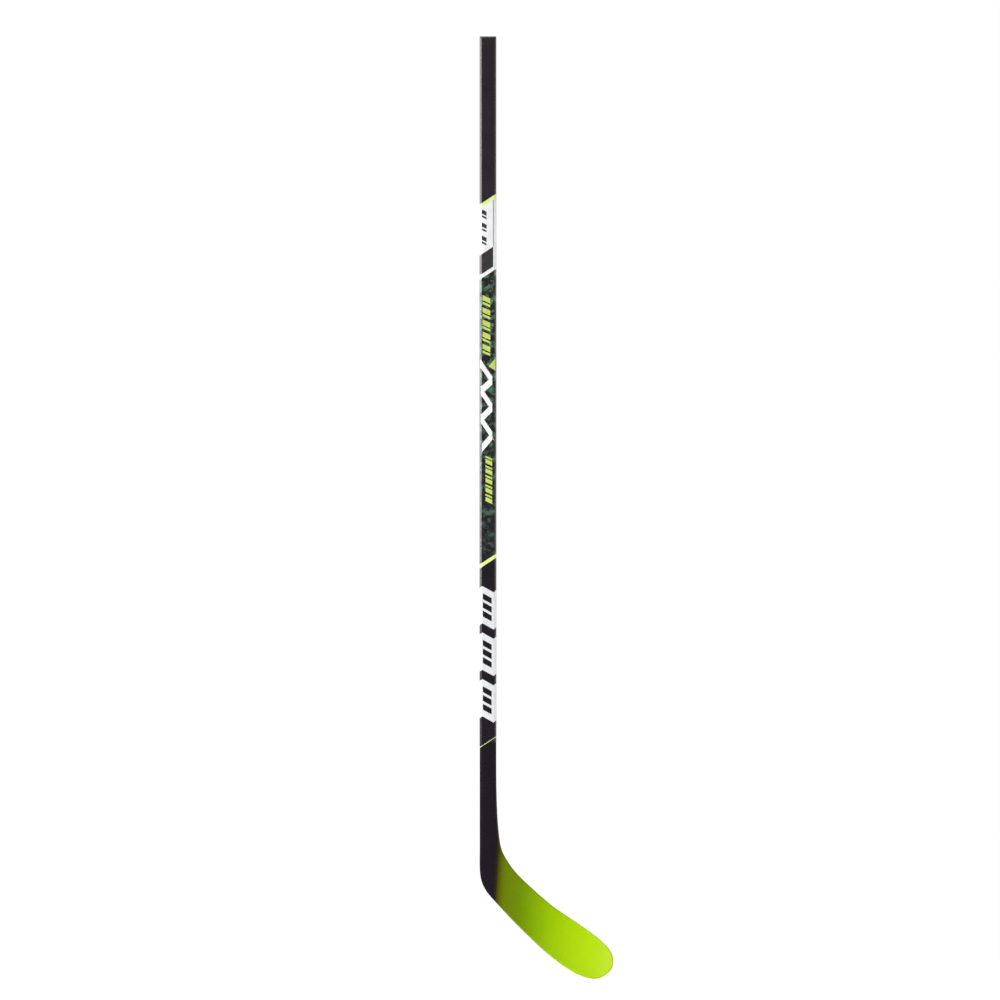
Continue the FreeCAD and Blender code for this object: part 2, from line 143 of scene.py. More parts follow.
# Pairs of blade points, (sole, top edge), from the shaft to the toe.
# X is from the shaft's middle and Z from the heel.
OUTLINE = (
    ((-14.75, 270), (14.75, 270)), ((-14.75, 250), (14.75, 250)), ((-14.75, 195), (15, 195)),
    ((-14.75, 145), (16.5, 145)), ((-14.75, 103), (19.6, 105)), ((-14.8, 72), (25.2, 77.5)),
    ((-14.7, 45), (35, 59)), ((-11.6, 23.7), (43.5, 46.5)), ((-4.3, 7.8), (51.3, 37.3)),
    ((8.3, -8), (62.3, 26)), ((27, -28.4), (77, 12.3)), ((47.2, -49.7), (95, -3.8)),
    ((68.6, -71), (116.8, -21.6)), ((91, -92.4), (140.5, -38)), ((117.3, -114.9), (166, -54.8)),
    ((145.8, -135.1), (192.5, -74.2)), ((170.8, -146.5), (209.5, -89.3)), ((190, -149.3), (218.6, -102)),
    ((204.6, -144.9), (222, -115.5)), ((214.5, -137.7), (221.1, -127.3)),
)


# ---------------------------------------------------------------- meshes

def add_piece(name, points, faces, material, body, replaces=()):
    """A closed, smooth-shaded mesh from points in millimetres, riding on one body."""
    mesh = bpy.data.meshes.new(name)
    mesh.from_pydata([Vector(p) * MM for p in points], [], faces)
    work = bmesh.new()
    work.from_mesh(mesh)
    bmesh.ops.remove_doubles(work, verts=work.verts, dist=MERGE_DISTANCE * MM)
    bmesh.ops.recalc_face_normals(work, faces=work.faces)
    work.to_mesh(mesh)
    work.free()
    mesh.shade_smooth()
    mesh.set_sharp_from_angle(angle=SHARP_ANGLE)
    mesh.materials.append(material)
    piece = bpy.data.objects.new(name, mesh)
    bpy.context.scene.collection.objects.link(piece)
    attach(piece, body)
    if replaces:
        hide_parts(*replaces)
    return piece


def loft(rings, joined=False, capped=False):
    """Points and faces of a skin through closed rings. Joined closes the last ring to the first."""
    size = len(rings[0])
    points = [point for ring in rings for point in ring]
    faces = []
    last = len(rings) if joined else len(rings) - 1
    for k in range(last):
        near, far = k * size, (k + 1) % len(rings) * size
        for i in range(size):
            j = (i + 1) % size
            faces.append((near + i, near + j, far + j, far + i))
    if capped:
        faces.append(tuple(range(size)))
        faces.append(tuple(range(len(points) - size, len(points))))
    return points, faces


def merged(*parts):
    """Several (points, faces) sets as one."""
    points, faces = [], []
    for more_points, more_faces in parts:
        start = len(points)
        points += more_points
        faces += [tuple(start + i for i in face) for face in more_faces]
    return points, faces


def steps_between(start, end, spacing):
    """Evenly spaced values from start to end, both included."""
    count = max(1, math.ceil(abs(end - start) / spacing))
    return [start + (end - start) * k / count for k in range(count + 1)]


def rounded_ring(half_x, half_y, corner, z):
    """One level loop of a rounded rectangle, with the same number of points whatever its size."""
    ring = []
    for quarter in range(4):
        turn = quarter * math.pi / 2
        half_across, out = (half_x, half_y) if quarter % 2 == 0 else (half_y, half_x)
        across = half_across - corner
        for k in range(FLAT_STEPS):
            ring.append((across * (2 * k / FLAT_STEPS - 1), -out, turn))
        for k in range(CORNER_STEPS):
            angle = k / CORNER_STEPS * math.pi / 2
            y = -(out - corner) - corner * math.cos(angle)
            ring.append((across + corner * math.sin(angle), y, turn))
    return [
        (x * math.cos(turn) - y * math.sin(turn), x * math.sin(turn) + y * math.cos(turn), z)
        for x, y, turn in ring
    ]


# ---------------------------------------------------------------- the shaft and what is printed on it

FLAT = HALF_WIDTH - CORNER
ARC = CORNER * math.pi / 2
SIDE = 2 * (HALF_DEPTH - CORNER)
HALF_ROUND = 2 * FLAT + 2 * ARC + SIDE


def column_stops():
    """How far round the skin the shaft's own columns lie, from the middle of the back all the way round."""
    stops = [0.0]
    for length, steps in ((FLAT, 2), (ARC, CORNER_STEPS), (SIDE, 2), (ARC, CORNER_STEPS), (FLAT, 2)):
        for _ in range(steps):
            stops.append(stops[-1] + length / steps)
    return [-stop for stop in reversed(stops[1:])] + stops


COLUMNS = column_stops()


def skin_point(distance, lift, z):
    """The point that far round the skin from the middle of the forehand face, positive towards the toe."""
    distance = (distance + HALF_ROUND) % (2 * HALF_ROUND) - HALF_ROUND
    side = math.copysign(1.0, distance)
    left = abs(distance)
    if left <= FLAT:
        x, y, angle = left, -HALF_DEPTH, 0.0
    elif left <= FLAT + ARC:
        angle = (left - FLAT) / CORNER
        x = FLAT + CORNER * math.sin(angle)
        y = -(HALF_DEPTH - CORNER) - CORNER * math.cos(angle)
    elif left <= FLAT + ARC + SIDE:
        x, y, angle = HALF_WIDTH, left - FLAT - ARC - SIDE / 2, math.pi / 2
    elif left <= FLAT + 2 * ARC + SIDE:
        angle = math.pi / 2 + (left - FLAT - ARC - SIDE) / CORNER
        x = FLAT + CORNER * math.sin(angle)
        y = HALF_DEPTH - CORNER - CORNER * math.cos(angle)
    else:
        x, y, angle = HALF_ROUND - left, HALF_DEPTH, math.pi
    return (side * (x + lift * math.sin(angle)), y - lift * math.cos(angle), z)


def round_at(x):
    """How far round the skin the forehand side's point at x lies."""
    past = abs(x) - FLAT
    if past <= 0:
        return x
    return math.copysign(FLAT + CORNER * math.asin(min(1.0, past / CORNER)), x)


def make_shaft(material):
    """The hollow carbon tube, open at the butt, with a small chamfer at its rim."""
    rings = []
    for z in steps_between(FUSE_Z, CAP_Z - RIM_CHAMFER, LOOP_SPACING):
        rings.append(rounded_ring(HALF_WIDTH, HALF_DEPTH, CORNER, z))
    for inset in (RIM_CHAMFER, WALL - RIM_CHAMFER):
        rings.append(rounded_ring(HALF_WIDTH - inset, HALF_DEPTH - inset, CORNER - inset, CAP_Z))
    for z in steps_between(CAP_Z - RIM_CHAMFER, FUSE_Z, LOOP_SPACING):
        rings.append(rounded_ring(HALF_WIDTH - WALL, HALF_DEPTH - WALL, BORE_CORNER, z))
    points, faces = loft(rings, joined=True)
    add_piece("shaft", points, faces, material, "stick", ["shaft_tube"])


def band(name, top, bottom, material, replaces):
    """A film right round the shaft between two slanted cuts."""
    rings = []
    outer = steps_between(top, bottom, LOOP_SPACING)
    for lift, heights in ((FILM, outer), (0.0, outer[::-1])):
        for height in heights:
            ring = []
            for distance in COLUMNS[:-1]:
                x = skin_point(distance, 0.0, 0.0)[0]
                ring.append(skin_point(distance, lift, height + BAND_SLOPE * x))
            rings.append(ring)
    points, faces = loft(rings, joined=True)
    add_piece(name, points, faces, material, "stick", replaces)


def turning_left(loop):
    """The loop in anticlockwise order."""
    area = sum(a[0] * b[1] - b[0] * a[1] for a, b in zip(loop, loop[1:] + loop[:1]))
    return loop if area > 0 else loop[::-1]


def printed(outlines, holes, slope):
    """Points and faces of thin raised shapes on a film. An outline is a loop of (round the skin, height)."""
    corners, loops = [], []
    for loop in [*outlines, *holes]:
        loops.append(list(range(len(corners), len(corners) + len(loop))))
        corners += turning_left(list(loop))
    rounds, heights = zip(*corners)
    edges = []
    for stop in [c + turn for c in COLUMNS for turn in (-2 * HALF_ROUND, 0, 2 * HALF_ROUND)]:
        if min(rounds) < stop < max(rounds):
            edges.append((len(corners), len(corners) + 1))
            corners += [(stop, min(heights)), (stop, max(heights))]
    flat, _, triangles, _, _, sources = delaunay_2d_cdt([Vector(c) for c in corners], edges, loops, 0, 1e-5)
    kept = []
    for triangle, inside in zip(triangles, sources):
        if inside and max(inside) < len(outlines):
            kept.append(tuple(triangle))
    sides = [side for triangle in kept for side in zip(triangle, triangle[1:] + triangle[:1])]
    known = set(sides)
    points, count = [], len(flat)
    for lift in (FILM + PRINT, FILM):
        for distance, height in flat:
            x = skin_point(distance, 0.0, 0.0)[0]
            points.append(skin_point(distance, lift, height + slope * x))
    faces = kept + [tuple(count + i for i in reversed(triangle)) for triangle in kept]
    faces += [(a, a + count, b + count, b) for a, b in sides if (b, a) not in known]
    needed = sorted({i for face in faces for i in face})
    renumbered = {old: new for new, old in enumerate(needed)}
    return [points[i] for i in needed], [tuple(renumbered[i] for i in face) for face in faces]


def half_turned(loops):
    """The same loops on the backhand side, turned half way round the shaft."""
    return [[(distance + HALF_ROUND, height) for distance, height in loop] for loop in loops]


def print_both_sides(name, outlines, material, holes=(), slope=0.0):
    """A print on the forehand side and its copy on the backhand side."""
    front = printed(outlines, holes, slope)
    back = printed(half_turned(outlines), half_turned(holes), slope)
    points, faces = merged(front, back)
    add_piece(name, points, faces, material, "stick")


def slanted_bar(left, right, top, fall, thickness):
    """A bar across the forehand face whose ends are upright and whose long edges fall to the right."""
    return [
        (round_at(left), top), (round_at(left), top - thickness),
        (round_at(right), top - fall - thickness), (round_at(right), top - fall),
    ]


def bar_row(left, right, top, pitch, count, fall, thicknesses, gap):
    """A row of equal groups of slanted bars down the shaft."""
    bars = []
    for unit in range(count):
        height = top - unit * pitch
        for thickness in thicknesses:
            bars.append(slanted_bar(left, right, height, fall, thickness))
            height -= thickness + gap
    return bars


def zigzag(turns, thickness):
    """Strokes between turning points (x, top), each as tall as thickness."""
    strokes = []
    for (x0, z0), (x1, z1) in zip(turns, turns[1:]):
        a, b = round_at(x0), round_at(x1)
        strokes.append([(a, z0), (a, z0 - thickness), (b, z1 - thickness), (b, z1)])
    return strokes


def louvred_block(top):
    """A wide block that wraps both corners, with three slanted slots. Returns its outline and its slots."""
    edge, height = FLAT + ARC, 66.0
    rim = [(-edge, top - 4.4), (-FLAT, top), (FLAT, top - 11.0), (edge, top - 5.6)]
    outline = rim + [(distance, level - height) for distance, level in reversed(rim)]
    slot_left, slot_right, first_slot, pitch, fall, thickness = -9.2, 6.5, 12.5, 15.5, 8.8, 10.5
    slots = []
    for k in range(3):
        slots.append(slanted_bar(slot_left, slot_right, top - first_slot - pitch * k, fall, thickness))
    return outline, slots


def make_prints(films):
    """Every film and printed shape on the shaft, from the butt end down."""
    bands = (
        ("upper_lime_stripe", BADGE_TOP, LIME_BOTTOM, "lime_film", ()),
        ("upper_badge_panel", LIME_BOTTOM, CAMO_TOP, "white_film", ["upper_badge_film"]),
        ("camouflage_wrap", CAMO_TOP, CAMO_BOTTOM, "camouflage_film", ["camouflage_film"]),
        ("lower_lime_stripe", CAMO_BOTTOM, LOWER_LIME_BOTTOM, "lime_film", ()),
        ("lower_badge_ground", LOWER_LIME_BOTTOM, BADGE_BOTTOM, "dark_film", ["lower_badge_film"]),
        ("neck_pinstripe", *PINSTRIPE, "lime_film", ["pinstripe_film"]),
    )
    for name, top, bottom, slot, nodes in bands:
        band(name, top, bottom, films[slot], nodes)

    left_end, face_edge, line_width, tuck = -(FLAT + ARC + SIDE), 9.2, 1.2, 0.2
    charcoal = [(left_end, CHARCOAL_TOP), (face_edge, CHARCOAL_TOP), (face_edge, CHARCOAL_BOTTOM),
                (left_end, CHARCOAL_BOTTOM)]
    print_both_sides("upper_badge_block", [charcoal], films["charcoal_ink"], slope=BAND_SLOPE)
    # A thin grey line down the right-hand edge of each wide face, as seen from that side, across the white
    # panel.
    line_left, line_top = face_edge - tuck, LIME_BOTTOM - 1
    edge_line = [(line_left, line_top), (line_left + line_width, line_top),
            (line_left + line_width, CHARCOAL_TOP), (line_left, CHARCOAL_TOP)]
    print_both_sides("upper_badge_edge_line", [edge_line], films["grey_ink"], slope=BAND_SLOPE)
    small_bars = bar_row(left=-11.5, right=-2.5, top=-307.0, pitch=23.2, count=3, fall=4.5,
                         thicknesses=(7.5, 3.5), gap=2.6)
    print_both_sides("upper_badge_marks", small_bars, films["charcoal_ink"])

    upper_row = bar_row(left=-9.8, right=4.0, top=-459.5, pitch=21.6, count=5, fall=6.0,
                        thicknesses=(9.0, 4.2), gap=2.6)
    flag = [[(round_at(1.0), -586.0), (round_at(13.2), -571.0), (round_at(13.2), -594.0)]]
    print_both_sides("camouflage_lime_marks_upper", upper_row + flag, films["lime_ink"])
    turns = [(-13.4, -573), (7.5, -604), (-12.5, -622), (7.5, -652), (-12.5, -672), (7.5, -702),
             (-11.0, -724)]
    spear = [(round_at(-3.0), -690.0), (round_at(-3.0), -694.0), (round_at(14.0), -724.0)]
    white_marks = zigzag(turns, thickness=14.5) + [spear]
    print_both_sides("camouflage_white_marks", white_marks, films["white_ink"])
    lower_row = bar_row(left=-4.5, right=7.5, top=-744.5, pitch=16.9, count=5, fall=5.5,
                        thicknesses=(3.4, 7.4), gap=2.2)
    print_both_sides("camouflage_lime_marks_lower", lower_row, films["lime_ink"])

    first_block, block_pitch = -976.3, 82.6
    blocks = [louvred_block(first_block - block_pitch * k) for k in range(3)]
    outlines = [outline for outline, _ in blocks]
    slots = [slot for _, block_slots in blocks for slot in block_slots]
    print_both_sides("lower_badge_blocks", outlines, films["block_ink"], holes=slots)


# ---------------------------------------------------------------- the butt end plug

def crush_rib(facing, offset, stem_x, stem_y):
    """A low half-round rib up the side of the stem that looks along facing, tapered at both ends."""
    bottom, top, taper = PLUG_Z + 4.0, CAP_Z - 3.0, 1.5
    half_width, height, end_share, sunk, steps = 0.8, 0.38, 0.15, 0.05, 8
    toward_x, toward_y = facing
    rings = []
    for z, share in ((bottom, end_share), (bottom + taper, 1.0), (top - taper, 1.0), (top, end_share)):
        ring = []
        for k in range(steps + 1):
            angle = k / steps * math.pi
            along = offset + half_width * math.cos(angle)
            out = height * math.sin(angle) * share - sunk
            x = toward_x * (stem_x + out) + abs(toward_y) * along
            y = toward_y * (stem_y + out) + abs(toward_x) * along
            ring.append((x, y, z))
        rings.append(ring)
    return loft(rings, capped=True)


def make_plug(material):
    """A moulded cap with a shallow dish and a rounded rim, and its hollow stem with a lead-in and ribs."""
    dish, cap_round, round_steps, under_bevel, bevel_height, under_fall = 0.35, 1.2, 8, 0.25, 0.3, 0.02
    cap = [(4.2, -dish), (3.4, -dish * 0.3), (2.6, 0.0)]
    for k in range(round_steps + 1):
        angle = k / round_steps * math.pi / 2
        cap.append((cap_round * (1 - math.sin(angle)), -cap_round * (1 - math.cos(angle))))
    cap += [(0.0, CAP_Z + bevel_height), (under_bevel, CAP_Z + under_fall)]
    rings = [rounded_ring(HALF_WIDTH - inset, HALF_DEPTH - inset, CORNER - inset, z) for inset, z in cap]

    clearance, stem_wall, stem_corner, lead_in, lead_share = 0.45, 1.8, 2.75, 1.2, 0.8
    stem_x, stem_y = HALF_WIDTH - WALL - clearance, HALF_DEPTH - WALL - clearance
    stem = ((0.0, CAP_Z), (0.0, PLUG_Z + lead_in), (lead_in * lead_share, PLUG_Z), (stem_wall, PLUG_Z),
            (stem_wall, CAP_Z))
    for inset, z in stem:
        rings.append(rounded_ring(stem_x - inset, stem_y - inset, stem_corner - inset * lead_share, z))

    rib_offset = 6.0
    parts = [loft(rings, capped=True)]
    for facing in ((0, -1), (0, 1)):
        for offset in (-rib_offset, rib_offset):
            parts.append(crush_rib(facing, offset, stem_x, stem_y))
    for facing in ((1, 0), (-1, 0)):
        parts.append(crush_rib(facing, 0.0, stem_x, stem_y))
    points, faces = merged(*parts)
    add_piece("end_plug_moulding", points, faces, material, "plug", ["end_plug"])


# ---------------------------------------------------------------- the blade

def natural_spline(points, knots):
    """A curve through the points at the given knots, smooth to its second derivative."""
    points, knots = np.array(points, float), np.array(knots, float)
    gaps = np.diff(knots)
    slopes = np.diff(points, axis=0) / gaps[:, None]
    system, target = np.eye(len(knots)), np.zeros_like(points)
    for k in range(1, len(knots) - 1):
        system[k, k - 1:k + 2] = gaps[k - 1], 2 * (gaps[k - 1] + gaps[k]), gaps[k]
        target[k] = 6 * (slopes[k] - slopes[k - 1])
    bends = np.linalg.solve(system, target)

    def at(knot):
        """The curve's point at one knot."""
        k = int(min(max(np.searchsorted(knots, knot) - 1, 0), len(gaps) - 1))
        before = (knots[k + 1] - knot) / gaps[k]
        after = 1 - before
        curve = (before ** 3 - before) * bends[k] + (after ** 3 - after) * bends[k + 1]
        return before * points[k] + after * points[k + 1] + curve * gaps[k] ** 2 / 6

    return at


middles = [((a + c) / 2, (b + d) / 2) for (a, b), (c, d) in OUTLINE]
chords = [math.dist(p, q) for p, q in zip(middles, middles[1:])]
SPINE_LENGTH = sum(chords)
KNOTS = [sum(chords[:k]) / SPINE_LENGTH for k in range(len(OUTLINE))]
SOLE = natural_spline([sole for sole, _ in OUTLINE], KNOTS)
TOP = natural_spline([top for _, top in OUTLINE], KNOTS)
TENON_SHARE = TENON_DOWN / SPINE_LENGTH
HEEL_SHARE = FUSE_HEIGHT / SPINE_LENGTH
SOLID_SHARE = 1 - TOE_SOLID / SPINE_LENGTH
BLADE_LENGTH = (1 - HEEL_SHARE) * SPINE_LENGTH


def ease(share):
    """A soft step from 0 to 1."""
    share = min(1.0, max(0.0, share))
    return share * share * (3 - 2 * share)


def along_hosel(share, start, end):
    """A size that eases from the shaft's to the blade's over the hosel."""
    return start + (end - start) * ease((share - TENON_SHARE) / (HEEL_SHARE - TENON_SHARE))


def past_heel(share):
    """How far along the blade past the heel, in millimetres."""
    return max(0.0, share - HEEL_SHARE) * SPINE_LENGTH


def blade_thickness(share):
    """The full thickness of hosel and blade, before the toe's end is rounded."""
    if share < HEEL_SHARE:
        return along_hosel(share, 2 * HALF_DEPTH, HEEL_THICKNESS)
    return HEEL_THICKNESS + (TOE_THICKNESS - HEEL_THICKNESS) * past_heel(share) / BLADE_LENGTH


def blade_middle(share):
    """The point halfway between the sole and the top edge, on the blade's curve."""
    share = min(1.0, max(0.0, share))
    x, height = (SOLE(share) + TOP(share)) / 2
    bent = max(0.0, past_heel(share) - CURVE_START) / (BLADE_LENGTH - CURVE_START)
    return Vector((x, -CURVE_DEPTH * bent ** 2, HEEL_Z + height))


def blade_section(share):
    """The middle, the direction from sole to top, the forehand direction and the width of one section."""
    x, height = TOP(share) - SOLE(share)
    edge = Vector((x, 0.0, height))
    lean = OPEN_ANGLE * ease(past_heel(share) / BLADE_LENGTH)
    across = edge.normalized() * math.cos(lean) + Vector((0, 1, 0)) * math.sin(lean)
    look = 0.004
    along = blade_middle(share + look) - blade_middle(share - look)
    return blade_middle(share), across, along.cross(across).normalized(), edge.length


def half_loop(half_width, depth, corner, groove=0.0):
    """Half a rounded section as (across, outward) pairs, from the sole's parting line round to the top's."""
    corner_steps, face_steps, least_side = 8, 14, 0.3
    edge = [(-half_width + groove, 0.0), (-half_width, min(groove, depth / 4))]
    edge.append((-half_width, max(depth - corner, depth * least_side)))
    for k in range(1, corner_steps + 1):
        angle = k / corner_steps * math.pi / 2
        out = depth - corner * (1 - math.sin(angle))
        edge.append((-half_width + corner * (1 - math.cos(angle)), out))
    half_face = half_width - corner
    face = [(-half_face + 2 * half_face * k / face_steps, depth) for k in range(1, face_steps)]
    return edge + face + [(-across, out) for across, out in reversed(edge)]


def blade_half(side, shares):
    """One skin: side 1 is the forehand half and -1 the backhand half."""
    least_depth, least_corner = 0.1, 0.3
    rings = []
    for share in shares:
        middle, across, outward, width = blade_section(share)
        depth = blade_thickness(share) / 2
        to_end = min(1.0, (1 - share) * SPINE_LENGTH / (depth * TOE_END_LENGTH))
        depth *= TOE_END_THICKNESS + (1 - TOE_END_THICKNESS) * math.sqrt(1 - (1 - to_end) ** 2)
        corner = min(CORNER, 2 * depth * EDGE_ROUND)
        wall = along_hosel(share, WALL, SKIN_WALL)
        hollow = 1.0 if share < SOLID_SHARE else 0.0
        outer = half_loop(width / 2 - EDGE_INSET, depth, corner, groove=PARTING_GROOVE)
        inner_depth = max(depth - wall, least_depth) * hollow
        inner_corner = min(max(corner - wall, least_corner), inner_depth)
        inner = half_loop(width / 2 - wall, inner_depth, inner_corner)
        bulge = TOE_BULGE * ease(1 - (1 - share) * SPINE_LENGTH / TOE_BULGE_LENGTH)
        along = across.cross(outward)
        ring = []
        for a, o in outer + inner[::-1]:
            across_share = 2 * a / width
            crown = bulge * (1 - across_share ** 2) * (1 + TOE_BULGE_LEAN * across_share)
            ring.append(tuple(middle + across * a + outward * (side * o) + along * crown))
        rings.append(ring)
    points, faces = loft(rings)
    size, half = len(rings[0]), len(rings[0]) // 2
    for start in (0, len(points) - size):
        for i in range(half - 1):
            faces.append((start + i, start + i + 1, start + size - 2 - i, start + size - 1 - i))
    return points, faces


def make_blade(material):
    """The two skins, which meet along a fine parting line on the blade's edges."""
    steps, even_steps, toe_steps, wall_step = 200, 190, 40, 1e-4
    shares = [k / steps for k in range(even_steps)]
    start = even_steps / steps
    shares += [start + (1 - start) * math.sin(k / toe_steps * math.pi / 2) for k in range(toe_steps + 1)]
    shares = sorted(set(shares + [SOLID_SHARE - wall_step, SOLID_SHARE]))
    for name, side, node in (("blade_forehand_skin", 1, "blade_front_skin"),
                             ("blade_backhand_skin", -1, "blade_back_skin")):
        points, faces = blade_half(side, shares)
        add_piece(name, points, faces, material, "stick", [node])


# ---------------------------------------------------------------- finishes

def paint(red, green, blue):
    """A display colour, 0 to 255, as the linear colour that shaders take."""
    def linear(value):
        """One channel of the colour."""
        value /= 255
        return value / 12.92 if value <= 0.04045 else ((value + 0.055) / 1.055) ** 2.4
    return (linear(red), linear(green), linear(blue), 1.0)


class Finish:
    """One procedural material: short calls that add shader nodes and join them up."""

    def __init__(self, name, **constants):
        """A new material, with constants set on the shader's own sockets."""
        self.material = bpy.data.materials.new(name)
        self.material.use_nodes = True
        self.tree = self.material.node_tree
        self.shader = self.tree.nodes["Principled BSDF"]
        for socket, value in constants.items():
            self.shader.inputs[socket.replace("_", " ").title().replace("Ior", "IOR")].default_value = value
        self.place = self.tree.nodes.new("ShaderNodeTexCoord").outputs["Object"]
        split = self.add("ShaderNodeSeparateXYZ", {0: self.place})
        self.x, self.y, self.z = split.outputs

    def add(self, kind, values, **options):
        """One node, its options set and its inputs given numbers or joined to other nodes' outputs."""
        node = self.tree.nodes.new(kind)
        for option, value in options.items():
            setattr(node, option, value)
        for name, value in values.items():
            if isinstance(value, bpy.types.NodeSocket):
                self.tree.links.new(value, node.inputs[name])
            else:
                node.inputs[name].default_value = value
        return node

    def math(self, operation, *values):
        """The result of one operation on numbers or outputs."""
        return self.add("ShaderNodeMath", dict(enumerate(values)), operation=operation).outputs[0]

    def noise(self, size, detail, place=None):
        """Soft noise whose features are about size millimetres across."""
        values = {"Vector": place or self.place, "Scale": 1 / (size * MM), "Detail": detail}
        return self.add("ShaderNodeTexNoise", values).outputs[0]

    def cells(self, size, randomness=1.0, place=None, **options):
        """Random cells about size millimetres across."""
        values = {"Vector": place or self.place, "Scale": 1 / (size * MM), "Randomness": randomness}
        return self.add("ShaderNodeTexVoronoi", values, **options)

    def stretched(self, x, y, z):
        """The object's coordinates with each axis scaled."""
        values = {0: self.place, 1: (x, y, z)}
        return self.add("ShaderNodeVectorMath", values, operation="MULTIPLY").outputs[0]

    def between(self, value, low, high, out_low=0.0, out_high=1.0):
        """value carried from low..high to out_low..out_high, and held at the ends."""
        values = {"Value": value, "From Min": low, "From Max": high, "To Min": out_low, "To Max": out_high}
        return self.add("ShaderNodeMapRange", values).outputs[0]

    def mix(self, share, first, second):
        """The first colour, changed into the second by share."""
        values = {0: share, 6: first, 7: second}
        return self.add("ShaderNodeMix", values, data_type="RGBA").outputs[2]

    def ramp(self, value, stops, hard=False):
        """A colour ramp with the given (position, colour) stops."""
        node = self.add("ShaderNodeValToRGB", {0: value})
        node.color_ramp.interpolation = "CONSTANT" if hard else "LINEAR"
        elements = node.color_ramp.elements
        while len(elements) < len(stops):
            elements.new(1.0)
        for element, (position, colour) in zip(elements, stops):
            element.position = position
            element.color = colour
        return node.outputs[0]

    def twill(self):
        """How high each point of a two-over-two twill stands, 0 to 1, and which of its tows are on top."""
        across = self.math("DIVIDE", self.math("ADD", self.x, self.y), TOW * MM)
        up = self.math("DIVIDE", self.z, TOW * MM)
        step = self.math("ADD", self.math("FLOOR", across), self.math("FLOOR", up))
        over = self.math("LESS_THAN", self.math("FLOORED_MODULO", step, 4.0), 2.0)
        crowns = []
        for coordinate in (across, up):
            wave = self.math("SINE", self.math("MULTIPLY", coordinate, math.pi))
            crowns.append(self.math("ABSOLUTE", wave))
        values = {0: over, 2: crowns[0], 3: crowns[1]}
        return self.add("ShaderNodeMix", values, data_type="FLOAT").outputs[0], over

    def finish(self, colour, roughness, height=None, depth=0.02, strength=1.0):
        """Joins the colour, the roughness and a bump of depth millimetres to the shader."""
        self.tree.links.new(colour, self.shader.inputs["Base Color"])
        self.tree.links.new(roughness, self.shader.inputs["Roughness"])
        if height is not None:
            values = {"Height": height, "Strength": strength, "Distance": depth * MM}
            bump = self.add("ShaderNodeBump", values)
            self.tree.links.new(bump.outputs[0], self.shader.inputs["Normal"])
        return self.material


def coated_laminate():
    """Satin clear-coated carbon: nearly black, a weave that only just shows as a painted sheen on its top
    tows, and fine handling marks.
    """
    f = Finish("coated_laminate", coat_weight=0.35, coat_roughness=0.16, specular_ior_level=0.5)
    weave, over = f.twill()
    cloudy = f.noise(38, detail=3)
    base = f.ramp(cloudy, ((0.3, paint(32, 26, 34)), (0.7, paint(37, 31, 39))))
    # Painted sheen: the tows on top are painted lighter, as the fibres' sheen would show them.
    tow_sheen = f.mix(f.math("MULTIPLY", over, 0.12), base, paint(48, 42, 50))
    hairlines = f.noise(0.9, detail=1, place=f.stretched(1, 1, 0.03))
    scuffs = f.between(hairlines, 0.66, 0.74)
    patches = f.between(f.noise(26, detail=2), 0.5, 0.68)
    worn = f.math("MULTIPLY", scuffs, patches)
    colour = f.mix(f.math("MULTIPLY", worn, 0.28), tow_sheen, paint(92, 86, 92))
    roughness = f.math("ADD", f.between(cloudy, 0.3, 0.7, 0.27, 0.34), f.math("MULTIPLY", worn, 0.15))
    grain = f.noise(0.35, detail=2)
    height = f.math("ADD", f.math("MULTIPLY", weave, 0.5), f.math("MULTIPLY", grain, 0.5))
    return f.finish(colour, roughness, height, depth=0.012, strength=0.35)


def film(name, light, dark, gloss):
    """A printed film: even ink, a faint mottle, a fine screen grain and a few rubbed spots."""
    f = Finish(name, coat_weight=0.4, coat_roughness=0.14)
    mottle = f.noise(9, detail=4)
    screen = f.cells(0.7, randomness=0.35).outputs["Distance"]
    base = f.ramp(mottle, ((0.3, dark), (0.62, light)))
    dots = f.between(screen, 0.0, 0.6, 0.0, 0.06)
    colour = f.mix(dots, base, tuple(0.6 * value for value in dark[:3]) + (1.0,))
    rub = f.between(f.noise(1.1, detail=2, place=f.stretched(1, 1, 0.06)), 0.62, 0.8)
    even = f.between(mottle, 0.3, 0.7, gloss, gloss + 0.06)
    roughness = f.math("ADD", even, f.math("MULTIPLY", rub, 0.12))
    return f.finish(colour, roughness, f.noise(0.5, detail=2), depth=0.01, strength=0.25)


